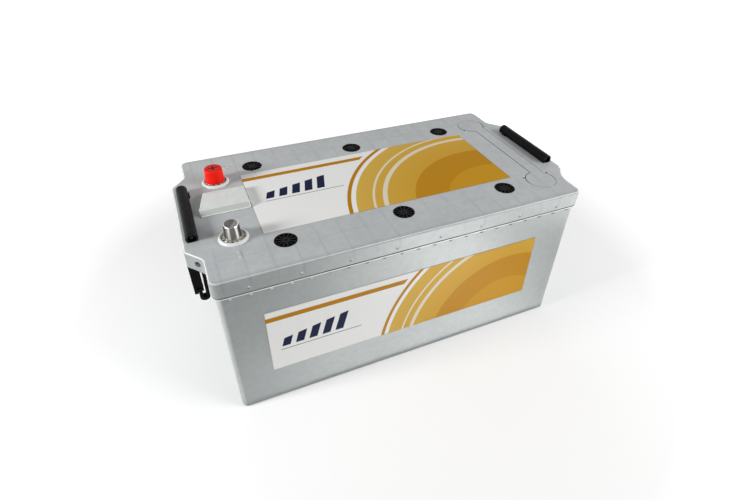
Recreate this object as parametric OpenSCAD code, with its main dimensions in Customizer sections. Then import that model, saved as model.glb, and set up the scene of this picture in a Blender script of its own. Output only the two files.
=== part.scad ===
// Deep cycle caravan battery, 12 V, six cells in two rows of three.
// X runs along the length with the terminals at -X, the label face is at -Y,
// +Z is up and the origin is the middle of the base.

/* [Lid] */
// Length of the lid without its handle ledges
lid_l = 483; // [460:1:500]
// Width of the lid
lid_w = 276; // [264:1:290]
// Height of the lid's top face above the base
lid_top = 220; // [205:1:235]
// Height of the lid's skirt
skirt_h = 21; // [18:0.5:25]
// Thickness of the skirt
skirt_t = 3; // [2.5:0.1:4]
// Thickness of the lid's top plate
plate_t = 4; // [3.5:0.1:5]
// Corner radius of the lid in plan
lid_corner_r = 9; // [6:0.5:14]
// Rounding of the lid's top edge
edge_r = 2.4; // [1:0.1:4]
// Space between the bumps along the skirt's long sides
bump_pitch = 58; // [40:1:80]
// Diameter of a skirt bump
bump_d = 4.4; // [3:0.1:5.5]
// How far a skirt bump stands out
bump_rise = 1; // [0.3:0.1:1.4]
// Height of the skirt bumps above the skirt's lower edge
bump_low = 6; // [4:0.5:10]

/* [Handle ledges] */
// How far a ledge stands out from the lid's end
ledge_reach = 17.5; // [16.5:0.5:22]
// Width of a ledge along its outer edge
ledge_w = 152; // [136:1:170]
// How much a ledge widens on each side towards the lid
ledge_flare = 16; // [10:1:25]
// Wall of the hollow ledge
ledge_wall = 2.8; // [2:0.1:3.4]
// Thickness of the ledge's top
ledge_plate = 6; // [5:0.1:8]
// Corner radius of the ledge's outer corners
ledge_corner_r = 6.5; // [4.2:0.1:8]
// Radius of the hollow corner where a ledge's side meets the lid's end
blend_r = 10; // [4:0.5:10]
// Radius of the wider hollow corner, at the front of the right-hand ledge
wide_blend_r = 44; // [20:1:48]

/* [Container] */
// Gap between the skirt and the container's wall
case_gap = 0.2; // [0.1:0.05:0.5]
// Taper of each end wall, from the top to the base
case_draft_l = 1; // [0:0.1:3]
// Taper of each long wall, from the top to the base
case_draft_w = 2.3; // [0:0.1:3]
// Corner radius of the container
case_corner_r = 7; // [5:0.5:10]
// Thickness of the outer walls at the base
wall_t = 4; // [3:0.1:5]
// Thickness of the floor
floor_t = 5; // [3:0.5:8]
// Thickness of the walls between the cells
partition_t = 2.6; // [2:0.1:4]
// Rounding of the lower edge
base_edge_r = 3; // [1:0.1:5]
// Height of the rim under the lid's skirt
rim_h = 2.4; // [1.5:0.1:4]
// Gap between the rim and the skirt
rim_gap = 0.8; // [0.2:0.05:1.2]
// How far the rim's edge lies inside the skirt's face
rim_inset = 0.2; // [0:0.1:1]
// Chamfer along the rim's upper edge
rim_edge = 0.7; // [0.3:0.1:1]
// Space between the ribs under the rim
rib_pitch = 22.4; // [15:0.1:30]
// Thickness of a rib under the rim
rib_t = 2.8; // [1.5:0.1:4]
// Height of a rib under the rim
rib_h = 4.6; // [1.5:0.1:6]

/* [Cells] */
// Positive plates in one cell
plate_count = 9; // [5:1:11]
// Thickness of a positive plate
pos_plate_t = 4.2; // [2:0.1:5]
// Thickness of a negative plate
neg_plate_t = 3.6; // [2:0.1:5]
// Height of a plate without its lug
plate_h = 150; // [120:1:152]
// Space between a plate's side and the cell wall
plate_side = 2.5; // [1:0.1:5]
// Space between a plate's foot and the floor
plate_foot = 2; // [1:0.1:4]
// Width of a plate's lug
lug_w = 14; // [10:1:18]
// Height of a lug below its strap
lug_h = 9; // [6:0.5:10]
// Distance of a lug from the cell's middle
lug_offset = 38; // [30:1:44]
// Thickness of a strap
strap_t = 12; // [8:0.5:13]
// Diameter of the weld through a cell wall
weld_d = 12; // [6:0.5:14]

/* [Terminals] */
// Distance of the posts from the lid's end
terminal_end = 38; // [35:0.5:45]
// Distance of the posts from the lid's long edges
terminal_edge = 72.5; // [66:0.5:78]
// Top diameter of the positive post
pos_post_d = 19.5; // [18:0.1:20.5]
// Top diameter of the negative post
neg_post_d = 17.9; // [16:0.1:19]
// Height of the posts above their crowns
post_h = 17; // [15:0.5:22]
// Post taper, length for one unit of diameter
post_taper = 9; // [8:0.5:12]
// Diameter of the lead crown at the foot of a post
crown_d = 26.4; // [24:0.1:27]
// Height of the crown above the lid
crown_h = 3.4; // [3:0.1:6]
// Teeth around the crown
crown_teeth = 14; // [8:1:20]
// Outer diameter of the lead sleeve in the lid
sleeve_d = 22.6; // [20:0.1:23.6]
// How far the sleeve reaches below the lid's top
sleeve_depth = 17; // [13:0.5:19]
// Diameter of the cell post inside the sleeve
riser_d = 14; // [10:0.5:15]
// Outer diameter of the collar ring
collar_d = 35; // [32:0.5:40]
// Height of the collar ring
collar_h = 3.2; // [2:0.1:3.8]

/* [Positive cap] */
// Wall of the cap
cap_wall = 1.2; // [0.8:0.1:2]
// Gap between the cap and its post
cap_gap = 0.4; // [0.3:0.05:0.8]

/* [Vent plugs] */
// Diameter of a plug's head
plug_d = 26.6; // [25:0.1:29]
// Distance of the outer plugs from the lid's ends
plug_end = 92; // [81:0.5:97]
// Distance of the plugs from the lid's long edges
plug_edge = 46; // [40:0.5:50]
// Thickness of a plug's head
plug_head_t = 4.4; // [4:0.1:5]
// Diameter of a plug's shaft
plug_shaft_d = 18.4; // [17.4:0.1:18.8]
// How far the plug sockets reach below the lid's top
socket_depth = 24; // [22.5:0.5:25]
// Ribs on a plug's head
plug_ribs = 12; // [8:1:16]
// Depth of the pockets between the ribs
rib_depth = 1.6; // [0.6:0.1:1.8]
// Gap between a plug and its socket
plug_gap = 0.4; // [0.3:0.05:0.6]
// Thickness of the o-ring's cord
o_ring_d = 2; // [1.6:0.1:2]

/* [Handles] */
// Outer diameter of a grip
grip_d = 14; // [13:0.1:15]
// Bore of a grip
grip_bore = 10; // [9:0.1:10.4]
// Length of a grip
grip_l = 112; // [95:1:120]
// Chamfer at a grip's ends
grip_chamfer = 0.8; // [0.3:0.1:1.2]
// Distance of a grip's axis from the lid's end
grip_out = 6; // [5.2:0.1:6.6]
// Height of a grip's axis above the lid
grip_rise = 4; // [3.6:0.1:5]
// How far a handle lifts
handle_travel = 27.5; // [20:0.5:30]
// Width of a leg below its shoulder
leg_w = 11.2; // [9:0.1:11.5]
// How far the legs stand out from the ledge
leg_proud = 1.2; // [0:0.1:3]
// Thickness of a leg along the grip
leg_t = 9; // [7:0.1:11]
// Width of a leg's neck
neck_w = 5.5; // [4:0.1:6]
// Length of a leg below its shoulder
leg_l = 44; // [38:0.5:48]
// How far the legs sit in from the grip's ends
leg_inset = 4; // [2:0.1:6]
// Thickness of the spring strip
spring_t = 4.2; // [3:0.1:4.4]
// Gap inside the bend of the spring strip
spring_gap = 3.6; // [2:0.1:5]
// Length of the spring strip above its bend
spring_l = 40; // [34:0.5:42]
// Gap between a handle and the lid
handle_gap = 0.4; // [0.3:0.05:0.6]

/* [Gas cover] */
// Length of the cover at its foot
cover_l = 61; // [52:0.5:62]
// Width of the cover at its foot
cover_w = 46; // [40:0.5:50]
// Height of the cover
cover_h = 6.4; // [6:0.1:10]
// Space between the cover and the positive collar
cover_rear_gap = 14; // [8:0.5:20]
// Slope of the cover's front face
cover_slope = 4.6; // [1:0.1:6]
// How far the cover's rear corner is cut in at the lid's end
cover_cut = 9; // [0:0.5:12]
// Corner radius of the cover
cover_corner_r = 2.4; // [2:0.1:5]
// Rounding of the cover's upper edge
cover_edge_r = 0.8; // [0.6:0.1:1.8]
// Height of the shadow line under the cover
cover_foot_h = 0.6; // [0.3:0.1:1]
// Depth of the shadow line under the cover
cover_foot_in = 0.7; // [0.3:0.1:1.2]
// Wall of the cover
cover_wall = 2; // [1.2:0.1:2.5]
// Diameter of the flame arrestor disc
arrestor_d = 20; // [14:0.5:24]
// Thickness of the flame arrestor disc
arrestor_t = 3.5; // [2:0.1:3.8]
// Diameter of the gas outlet
outlet_d = 8; // [6:0.1:8.4]
// Length of the gas outlet's bore
outlet_l = 8; // [6:0.5:8.5]
// Distance of the gas outlet from the lid's end wall, along the ledge's side
outlet_out = 8.5; // [7.5:0.1:11]
// Depth of the gas outlet's axis below the lid's top
outlet_drop = 10.5; // [10:0.1:12]

/* [Labels] */
// Thickness of a label
label_t = 0.3; // [0.2:0.05:0.5]
// Corner radius of a label
label_r = 2; // [1:0.1:4]
// Space between the top label and the lid's terminal end
top_label_near = 71; // [71:0.5:81]
// Space between the top label and the lid's far end
top_label_far = 68.5; // [67:0.5:81]
// Space between the top label and the lid's long edges
top_label_side = 66; // [62:0.5:80]
// Space between the front label and the lid's terminal end
front_label_near = 49; // [31:1:71]
// Space between the front label and the lid's far end
front_label_far = 57.5; // [31:1:71]
// Height of the front label's lower edge above the base
front_label_low = 56; // [40:1:70]
// Height of the front label
front_label_h = 101; // [70:1:110]

/* [Mould insert line] */
// Distance of the line's round ends from the lid's far end
insert_end = 32.5; // [29:0.5:37]
// Radius of the line's round ends
insert_r = 20.7; // [15:0.1:22]
// Width of the band between the round ends
insert_band = 18; // [10:0.5:22]
// How far the band sits out from the round ends' middle
insert_shift = 7; // [0:0.5:9]
// Width of the line
insert_line = 0.9; // [0.6:0.1:1.6]
// Depth of the line
insert_depth = 0.6; // [0.3:0.1:1.2]
// Diameter of the pits beside the round ends
pit_d = 2.6; // [1.5:0.1:3]
// Depth of the pits
pit_depth = 2.4; // [0.4:0.1:2.8]
// Direction of a pit from its round end's middle
pit_turn = 33; // [20:1:40]

/* [Hidden] */

// Overshoot of a cut
cut = 1;
$fn = 48;

case_colour = "#b3b7b6";
lid_colour = "#b6b9ba";
black_colour = "#1c1b1e";
lead_colour = "#a9a7a2";

// Container, from the lid inwards
seam_z = lid_top - skirt_h;
case_h = lid_top - plate_t;
case_l = lid_l - 2 * (skirt_t + case_gap);
case_w = lid_w - 2 * (skirt_t + case_gap);
base_l = case_l - 2 * case_draft_l;
base_w = case_w - 2 * case_draft_w;
case_rim = 1;
front_draft = atan(case_draft_w / (case_h - case_rim - base_edge_r));
rim_top = seam_z - rim_gap;
rim_low = rim_top - rim_h;
rib_count = 2 * floor((lid_l / 2 - case_corner_r - rib_t) / rib_pitch) + 1;
bump_count = 2 * floor((lid_l / 2 - lid_corner_r) / bump_pitch);

// Cells, numbered from the negative post round to the positive post
cell_l = (base_l - 2 * wall_t - 2 * partition_t) / 3;
cell_w = (base_w - 2 * wall_t - partition_t) / 2;
cell_cols = [-1, 0, 1, 1, 0, -1];
function cell_row(i) = i < 3 ? -1 : 1;
function cell_at(i) = [cell_cols[i] * (cell_l + partition_t), cell_row(i) * (cell_w + partition_t) / 2];

// Plate stack, which fills a cell from wall to wall
neg_count = plate_count + 1;
separator_t = (cell_l - plate_count * pos_plate_t - neg_count * neg_plate_t) / (plate_count + neg_count + 1);
mat_gap = 0.05;
stack_pitch = pos_plate_t + neg_plate_t + 2 * separator_t;
plate_w = cell_w - 2 * plate_side;
plate_z = floor_t + plate_foot;
plate_top = plate_z + plate_h;
separator_h = plate_foot + plate_h + 3;
strap_z = plate_top + lug_h;
strap_top = strap_z + strap_t;
strap_w = lug_w + 6;
strap_bite = 2;
weld_z = strap_z + strap_t / 2;
weld_gap = 0.1;
cross_weld_x = cell_l / 4;

// Side of a cell, -1 outer or 1 inner, on which a strap lies
function strap_side(i, positive) = ((i % 2 == 0) == positive) ? 1 : -1;
function strap_y(i, positive) = -cell_row(i) * strap_side(i, positive) * lug_offset;

// Terminals
terminal_x = -(lid_l / 2 - terminal_end);
terminal_y = lid_w / 2 - terminal_edge;
post_foot = lid_top + crown_h;
post_top = post_foot + post_h;
riser_gap = 0.1;
riser_top = post_top - 8;
collar_gap = 0.4;
terminal_boss_r = sleeve_d / 2 + 4;
crown_notch = 2.6;
cap_foot = post_foot + 0.3;
cover_x = terminal_x + 1;
cover_y = terminal_y - collar_d / 2 - cover_rear_gap - cover_w / 2;
cap_ceiling = post_top + cap_gap;
cap_top = cap_ceiling + cap_wall;

// Vent plugs
plug_x = lid_l / 2 - plug_end;
plug_y = lid_w / 2 - plug_edge;
plug_cols = [-1, 0, 1, 1, 0, -1];
function plug_at(i) = [plug_cols[i] * plug_x, cell_row(i) * plug_y];
well_depth = plug_head_t + 0.6;
well_r = plug_d / 2 + plug_gap;
neck_r = plug_shaft_d / 2 + plug_gap;
socket_r = well_r + 3.2;
socket_low = lid_top - socket_depth;
neck_low = lid_top - 17;
lug_reach = 2.6;
lug_z = neck_low - plug_gap;
key_w = 7;
plug_top = lid_top - 0.2;
o_ring_r = (well_r + neck_r) / 2;
valve_r = 5.6;
nipple_r = 4;
plug_bore_r = 7;

// Handles, measured outwards from the lid's end
grip_z = lid_top + grip_rise;
leg_y = grip_l / 2 - leg_inset - leg_t / 2;
shoulder_z = lid_top - ledge_plate - handle_travel - 0.5;
leg_out = ledge_reach + leg_proud;
leg_in = leg_out - leg_w;
leg_low = shoulder_z - leg_l;
bend_r = spring_t + spring_gap / 2;
bend_x = leg_in + 0.5;
bend_z = leg_low - 10;
spring_lean = 0.9;

// Glue under the front label
glue_t = 0.01;

// Ledges
ledge_x = lid_l / 2;
ledge_side = sqrt(pow(ledge_reach, 2) + pow(ledge_flare, 2));
ledge_skew = ledge_wall * ledge_side / ledge_reach;
outlet_turn = atan2(ledge_reach, ledge_flare);
outlet_share = outlet_out / ledge_side;

module rounded_rect(l, w, r) {
    square([l - 2 * r, w], center = true);
    square([l, w - 2 * r], center = true);
    for (x = [-1, 1], y = [-1, 1])
        translate([x * (l / 2 - r), y * (w / 2 - r)])
            circle(r, $fn = 32);
}

// The lid's outer form, with its upper edge rounded in steps
module lid_block() {
    translate([0, 0, seam_z])
        hull()
            for (a = [0:15:90])
                linear_extrude(skirt_h - edge_r * (1 - sin(a)))
                    rounded_rect(
                        lid_l - 2 * edge_r * (1 - cos(a)),
                        lid_w - 2 * edge_r * (1 - cos(a)),
                        lid_corner_r - edge_r * (1 - cos(a)));
}

// The right-hand ledge, with the same rounded upper edge
module ledge_block() {
    translate([ledge_x, 0, seam_z])
        hull()
            for (a = [0:15:90]) {
                inset = edge_r * (1 - cos(a));
                linear_extrude(skirt_h - edge_r * (1 - sin(a))) {
                    translate([-8, -ledge_w / 2 - ledge_flare + inset])
                        square([8, ledge_w + 2 * ledge_flare - 2 * inset]);
                    for (y = [-1, 1])
                        translate([ledge_reach - ledge_corner_r, y * (ledge_w / 2 - ledge_corner_r)])
                            circle(ledge_corner_r - inset, $fn = 32);
                }
            }
}

// Hollow corner of radius r between the right-hand ledge's rear side and the lid's end
module ledge_blend(r) {
    deep = r + 2 * edge_r;
    half = outlet_turn / 2;
    translate([ledge_x + r, ledge_w / 2 + ledge_flare + r * tan(half), seam_z])
        difference() {
            linear_extrude(skirt_h)
                polygon([
                    [0, 0],
                    [-deep, 0],
                    deep / cos(half) * [-cos(half), -sin(half)],
                    deep * [-cos(2 * half), -sin(2 * half)]]);
            translate([0, 0, -cut])
                rotate_extrude()
                    polygon(concat(
                        [[0, 0], [r, 0]],
                        [for (a = [0:15:90]) [r + edge_r * (1 - cos(a)), skirt_h + cut - edge_r * (1 - sin(a))]],
                        [[r + edge_r, skirt_h + 2 * cut], [0, skirt_h + 2 * cut]]));
        }
}

// Small cones along the skirt's long sides
module skirt_bumps() {
    for (k = [0:bump_count - 1], y = [0, 1])
        mirror([0, y, 0])
            translate([(k - (bump_count - 1) / 2) * bump_pitch, -lid_w / 2 + skirt_t / 2, seam_z + bump_low])
                rotate([90, 0, 0]) {
                    cylinder(d = bump_d, h = skirt_t / 2);
                    translate([0, 0, skirt_t / 2])
                        cylinder(d1 = bump_d, d2 = bump_d - 2 * bump_rise, h = bump_rise, $fn = 16);
                }
}

// Everything cut from the right-hand ledge: its hollow, grip cradle and leg slots
module ledge_cuts() {
    inner = ledge_w / 2 + ledge_flare - ledge_skew;
    outer = inner - ledge_flare * (ledge_reach - ledge_wall) / ledge_reach;
    hollow_h = skirt_h - ledge_plate;
    translate([ledge_x, 0, seam_z - cut])
        linear_extrude(hollow_h + cut)
            polygon([[0, -inner], [ledge_reach - ledge_wall, -outer], [ledge_reach - ledge_wall, outer], [0, inner]]);
    translate([ledge_x + grip_out, 0, grip_z])
        rotate([90, 0, 0])
            cylinder(d = grip_d + 2 * 0.3, h = grip_l + 2 * handle_gap, center = true);
    for (y = [-1, 1])
        translate([ledge_x, y * leg_y, 0]) {
            translate([grip_out - neck_w / 2 - handle_gap, -leg_t / 2 - handle_gap, seam_z])
                cube([neck_w + 2 * handle_gap, leg_t + 2 * handle_gap, skirt_h + cut]);
            translate([ledge_reach - ledge_wall - cut, -leg_t / 2 - handle_gap, seam_z - cut])
                cube([ledge_wall + 2 * cut, leg_t + 2 * handle_gap, hollow_h + cut]);
        }
}

// Places a shape whose +X points out of the gas outlet, at the terminal end's front ledge
module at_outlet() {
    translate([
        -ledge_x - outlet_share * ledge_reach,
        -ledge_w / 2 - ledge_flare + outlet_share * ledge_flare,
        lid_top - outlet_drop])
        rotate([0, 0, 180 + outlet_turn])
            children();
}

// Space under the lid's top plate, inside the skirt
module lid_inside() {
    translate([0, 0, seam_z - cut])
        linear_extrude(skirt_h - plate_t + cut)
            rounded_rect(lid_l - 2 * skirt_t, lid_w - 2 * skirt_t, lid_corner_r - skirt_t);
}

// Thickening behind the ledge's side, up to the skirt's inner face
module outlet_boss() {
    difference() {
        at_outlet()
            translate([-outlet_l - 1, 0, 0])
                rotate([0, 90, 0])
                    cylinder(d = outlet_d + 4, h = outlet_l);
        lid_inside();
    }
}

module outlet_cut() {
    at_outlet()
        rotate([0, 90, 0])
            translate([0, 0, -outlet_l])
                cylinder(d = outlet_d, h = outlet_l + cut);
}

module insert_shape(grow) {
    x = lid_l / 2 - insert_end;
    for (y = [-1, 1])
        translate([x, y * plug_y])
            circle(insert_r + grow);
    translate([x + insert_shift, 0])
        square([insert_band + 2 * grow, 2 * plug_y], center = true);
}

module insert_line() {
    translate([0, 0, lid_top - insert_depth])
        linear_extrude(insert_depth + cut)
            difference() {
                insert_shape(insert_line / 2);
                insert_shape(-insert_line / 2);
            }
}

// Pits beside the line's round ends
module insert_pits() {
    for (x = [-1, 1], y = [-1, 1])
        translate([lid_l / 2 - insert_end, y * plug_y, lid_top - pit_depth])
            translate((insert_r + pit_d / 2 + insert_line) * [x * cos(pit_turn), -y * sin(pit_turn), 0])
                cylinder(d = pit_d, h = pit_depth + cut, $fn = 16);
}

module plug_socket() {
    translate([0, 0, socket_low])
        cylinder(r = socket_r, h = socket_depth - plate_t / 2);
}

// Well for the head, neck with two key slots, and the open space below the neck
module plug_socket_cut() {
    translate([0, 0, lid_top - well_depth])
        cylinder(r = well_r, h = well_depth + cut);
    translate([0, 0, socket_low - cut])
        cylinder(r = neck_r, h = socket_depth);
    translate([0, 0, socket_low - cut])
        cylinder(r = neck_r + lug_reach + plug_gap, h = neck_low - socket_low + cut);
    translate([-key_w / 2, -neck_r - lug_reach, socket_low - cut])
        cube([key_w, 2 * (neck_r + lug_reach), socket_depth - well_depth + 2 * cut]);
}

module terminal_boss() {
    translate([0, 0, lid_top - sleeve_depth])
        cylinder(r = terminal_boss_r, h = sleeve_depth - plate_t / 2);
}

module lid() {
    color(lid_colour)
        difference() {
            union() {
                difference() {
                    union() {
                        lid_block();
                        ledge_block();
                        mirror([1, 0, 0])
                            ledge_block();
                        for (x = [0, 1], y = [0, 1])
                            mirror([x, 0, 0])
                                mirror([0, y, 0])
                                    ledge_blend(x == 0 && y == 1 ? wide_blend_r : blend_r);
                        skirt_bumps();
                    }
                    lid_inside();
                    ledge_cuts();
                    mirror([1, 0, 0])
                        ledge_cuts();
                }
                for (i = [0:5])
                    translate(plug_at(i))
                        plug_socket();
                for (y = [-1, 1])
                    translate([terminal_x, y * terminal_y, 0])
                        terminal_boss();
                outlet_boss();
            }
            for (i = [0:5])
                translate(plug_at(i))
                    plug_socket_cut();
            for (y = [-1, 1])
                translate([terminal_x, y * terminal_y, lid_top - sleeve_depth - cut])
                    cylinder(d = sleeve_d + 2 * riser_gap, h = sleeve_depth + 2 * cut);
            outlet_cut();
            insert_line();
            insert_pits();
        }
}

// The container's outer form, tapered and with its lower edge rounded in steps
module case_block() {
    hull() {
        for (a = [0:30:90]) {
            inset = base_edge_r * (1 - cos(a));
            translate([0, 0, base_edge_r * (1 - sin(a))])
                linear_extrude(case_rim)
                    rounded_rect(base_l - 2 * inset, base_w - 2 * inset, case_corner_r - inset);
        }
        translate([0, 0, case_h - case_rim])
            linear_extrude(case_rim)
                rounded_rect(case_l, case_w, case_corner_r);
    }
}

// Rim under the lid's skirt, with a row of ribs below it on the long walls
module case_rim_and_ribs() {
    translate([0, 0, rim_low])
        hull()
            for (k = [0, 1]) {
                inset = rim_inset + k * rim_edge;
                linear_extrude(rim_h - (1 - k) * rim_edge)
                    rounded_rect(lid_l - 2 * inset, lid_w - 2 * inset, lid_corner_r - inset);
            }
    for (k = [0:rib_count - 1], y = [0, 1])
        mirror([0, y, 0])
            translate([(k - (rib_count - 1) / 2) * rib_pitch, -base_w / 2 + wall_t / 2, rim_low])
                rotate([90, 0, 90])
                    linear_extrude(rib_t, center = true)
                        polygon([
                            [0, cut],
                            [(base_w - lid_w - wall_t) / 2 + 2 * rim_inset, cut],
                            [(base_w - lid_w - wall_t) / 2 + 2 * rim_inset, -rib_h / 2],
                            [-wall_t / 2, -rib_h],
                            [0, -rib_h]]);
}

// Box with six cell spaces and the weld holes between them
module container() {
    color(case_colour)
        difference() {
            union() {
                case_block();
                case_rim_and_ribs();
            }
            for (i = [0:5])
                translate([cell_at(i)[0] - cell_l / 2, cell_at(i)[1] - cell_w / 2, floor_t])
                    cube([cell_l, cell_w, case_h]);
            weld_places()
                cylinder(d = weld_d + 2 * weld_gap, h = 3 * partition_t, center = true);
        }
}

// The five places where one cell is welded to the next, with +Z through the wall
module weld_places() {
    for (i = [0, 1, 3, 4]) {
        x = (cell_at(i)[0] + cell_at(i + 1)[0]) / 2;
        translate([x, cell_at(i)[1] + strap_y(i, true), weld_z])
            rotate([0, 90, 0])
                children();
    }
    translate([cell_at(2)[0] + cross_weld_x, 0, weld_z])
        rotate([90, 0, 0])
            children();
}

module intercell_welds() {
    color(lead_colour)
        weld_places()
            cylinder(d = weld_d, h = partition_t, center = true);
}

// One plate with its lug, standing across X
module plate(thick, lug_y) {
    rotate([90, 0, 90])
        linear_extrude(thick) {
            translate([-plate_w / 2, plate_z])
                square([plate_w, plate_h]);
            translate([lug_y - lug_w / 2, plate_top - cut])
                square([lug_w, lug_h + strap_bite + cut]);
        }
}

// Plates of one polarity in cell i, joined by a strap that reaches its weld or its post
module plate_group(i, positive) {
    count = positive ? plate_count : neg_count;
    thick = positive ? pos_plate_t : neg_plate_t;
    first = -cell_l / 2 + (positive ? 2 * separator_t + neg_plate_t : separator_t);
    y = strap_y(i, positive);
    next_cell = positive ? i + 1 : i - 1;
    color(positive ? "#6b4a3a" : "#7d8082")
        translate(cell_at(i)) {
            for (k = [0:count - 1])
                translate([first + k * stack_pitch, 0, 0])
                    plate(thick, y);
            translate([first, y - strap_w / 2, strap_z])
                cube([(count - 1) * stack_pitch + thick, strap_w, strap_t]);
            if (next_cell < 0 || next_cell > 5)
                strap_arm(i, y);
            else if (cell_cols[next_cell] == cell_cols[i])
                cross_link(i, y);
            else
                end_link(cell_cols[next_cell] - cell_cols[i], y);
        }
}

// Strap end that meets the wall to the next cell along X
module end_link(side, y) {
    reach = cell_l / 4;
    translate([side > 0 ? cell_l / 2 - reach : -cell_l / 2, y - strap_w / 2, strap_z])
        cube([reach, strap_w, strap_t]);
}

// Strap branch that meets the wall between the two rows
module cross_link(i, y) {
    wall_y = -cell_row(i) * cell_w / 2;
    translate([cross_weld_x - strap_w / 2, min(y, wall_y), strap_z])
        cube([strap_w, abs(wall_y - y), strap_t]);
}

// Strap branch under the cell's terminal post
module strap_arm(i, y) {
    post = [terminal_x, cell_row(i) * terminal_y] - cell_at(i);
    low = min(y, post[1] - strap_w / 2);
    high = max(y, post[1] + strap_w / 2);
    translate([post[0] - strap_w / 2, low, strap_z])
        cube([strap_w, high - low, strap_t]);
}

// Glass mat separators of one cell
module separators(i) {
    color("#e6e4dc")
        translate([cell_at(i)[0] - cell_l / 2 + mat_gap, cell_at(i)[1] - cell_w / 2 + 0.5, floor_t + mat_gap])
            for (k = [0:plate_count], after = [0, 1])
                translate([k * stack_pitch + after * (separator_t + neg_plate_t), 0, 0])
                    cube([separator_t - 2 * mat_gap, cell_w - 1, separator_h]);
}

// Lead bushing and tapered post in one casting, hollow for the cell post
module terminal(top_d) {
    foot_r = top_d / 2 + post_h / post_taper / 2;
    crown_r = crown_d / 2;
    color(lead_colour)
        difference() {
            rotate_extrude()
                polygon([
                    [riser_d / 2 + riser_gap, lid_top - sleeve_depth],
                    [sleeve_d / 2, lid_top - sleeve_depth],
                    [sleeve_d / 2, lid_top],
                    [crown_r, lid_top],
                    [crown_r, post_foot - 1],
                    [crown_r - 1, post_foot],
                    [foot_r, post_foot],
                    [top_d / 2, post_top - 1.2],
                    [top_d / 2 - 0.4, post_top - 0.4],
                    [top_d / 2 - 1.2, post_top],
                    [0, post_top],
                    [0, riser_top + riser_gap],
                    [riser_d / 2 + riser_gap, riser_top + riser_gap]]);
            for (a = [0:crown_teeth - 1])
                rotate(a * 360 / crown_teeth)
                    translate([crown_r - 1.2, -crown_notch / 2, lid_top + crown_h / 3])
                        cube([2, crown_notch, crown_h]);
        }
}

module positive_terminal() {
    translate([terminal_x, terminal_y, 0])
        terminal(pos_post_d);
}

module negative_terminal() {
    translate([terminal_x, -terminal_y, 0])
        terminal(neg_post_d);
}

// Cell post that stands on the strap inside the bushing
module riser() {
    color(lead_colour)
        translate([0, 0, strap_top])
            cylinder(d = riser_d, h = riser_top - strap_top);
}

module positive_riser() {
    translate([terminal_x, terminal_y, 0])
        riser();
}

module negative_riser() {
    translate([terminal_x, -terminal_y, 0])
        riser();
}

// Dished ring round the foot of a post
module collar() {
    inner = crown_d / 2 + collar_gap;
    outer = collar_d / 2;
    color("#ecebe6")
        translate([0, 0, lid_top])
            rotate_extrude()
                polygon([
                    [inner, 0],
                    [outer, 0],
                    [outer, collar_h * 0.4],
                    [outer - 0.6, collar_h * 0.8],
                    [outer - 1.6, collar_h],
                    [outer - 2.4, collar_h * 0.92],
                    [inner, collar_h * 0.45]]);
}

module positive_collar() {
    translate([terminal_x, terminal_y, 0])
        collar();
}

module negative_collar() {
    translate([terminal_x, -terminal_y, 0])
        collar();
}

// Red cap pushed over the positive post
module positive_cap() {
    top_r = pos_post_d / 2 + cap_gap;
    foot_r = top_r + post_h / post_taper / 2;
    color("#f02816")
        translate([terminal_x, terminal_y, 0])
            rotate_extrude()
                polygon([
                    [foot_r, cap_foot],
                    [foot_r + cap_wall, cap_foot],
                    [top_r + cap_wall, cap_top - 1.2],
                    [top_r + cap_wall - 0.4, cap_top - 0.4],
                    [top_r + cap_wall - 1.2, cap_top],
                    [0, cap_top],
                    [0, cap_ceiling],
                    [top_r, cap_ceiling]]);
}

// The cover's corners up to one height, drawn in by an inset and by its front slope
module cover_corners(high, inset, slope) {
    r = cover_corner_r;
    linear_extrude(high)
        for (x = [-1, 1], y = [-1, 1])
            translate([
                x * (cover_l / 2 - r) + (x < 0 && y > 0 ? cover_cut : 0),
                y < 0 ? -cover_w / 2 + r + slope : cover_w / 2 - r])
                circle(r - inset, $fn = 32);
}

// Raised cover over the gas outlet chamber, sloped towards the negative post
module gas_cover() {
    color("#c9cdca")
        translate([cover_x, cover_y, lid_top])
            difference() {
                union() {
                    hull()
                        cover_corners(cover_foot_h + cut, cover_foot_in, 0);
                    hull() {
                        translate([0, 0, cover_foot_h])
                            cover_corners(cut, 0, 0);
                        for (a = [0:30:90])
                            translate([0, 0, cover_foot_h])
                                cover_corners(
                                    cover_h - cover_foot_h - cover_edge_r * (1 - sin(a)),
                                    cover_edge_r * (1 - cos(a)), cover_slope);
                    }
                }
                translate([-cover_l / 2 + 3 * cover_wall + cover_cut, -cover_w / 2 + 2 * cover_wall + cover_slope, -cut])
                    cube([
                        cover_l - 6 * cover_wall - cover_cut,
                        cover_w - 4 * cover_wall - cover_slope,
                        cover_h - cover_wall + cut]);
            }
}

// Porous disc that stops a flame at the outlet chamber
module flame_arrestor() {
    color("#d8d4c4")
        translate([cover_x + cover_cut / 2, cover_y + cover_slope / 2, lid_top])
            cylinder(d = arrestor_d, h = arrestor_t);
}

module top_label() {
    l = lid_l - top_label_near - top_label_far;
    color("#d9a441")
        translate([(top_label_near - top_label_far) / 2, 0, lid_top])
            linear_extrude(label_t)
                rounded_rect(l, lid_w - 2 * top_label_side, label_r);
}

// Lies on the tapered front wall
module front_label() {
    l = lid_l - front_label_near - front_label_far;
    color("#e0b050")
        translate([(front_label_near - front_label_far) / 2, -base_w / 2, base_edge_r])
            rotate([90 + front_draft, 0, 0])
                translate([0, front_label_low - base_edge_r + front_label_h / 2, glue_t])
                    linear_extrude(label_t)
                        rounded_rect(l, front_label_h, label_r);
}

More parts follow.
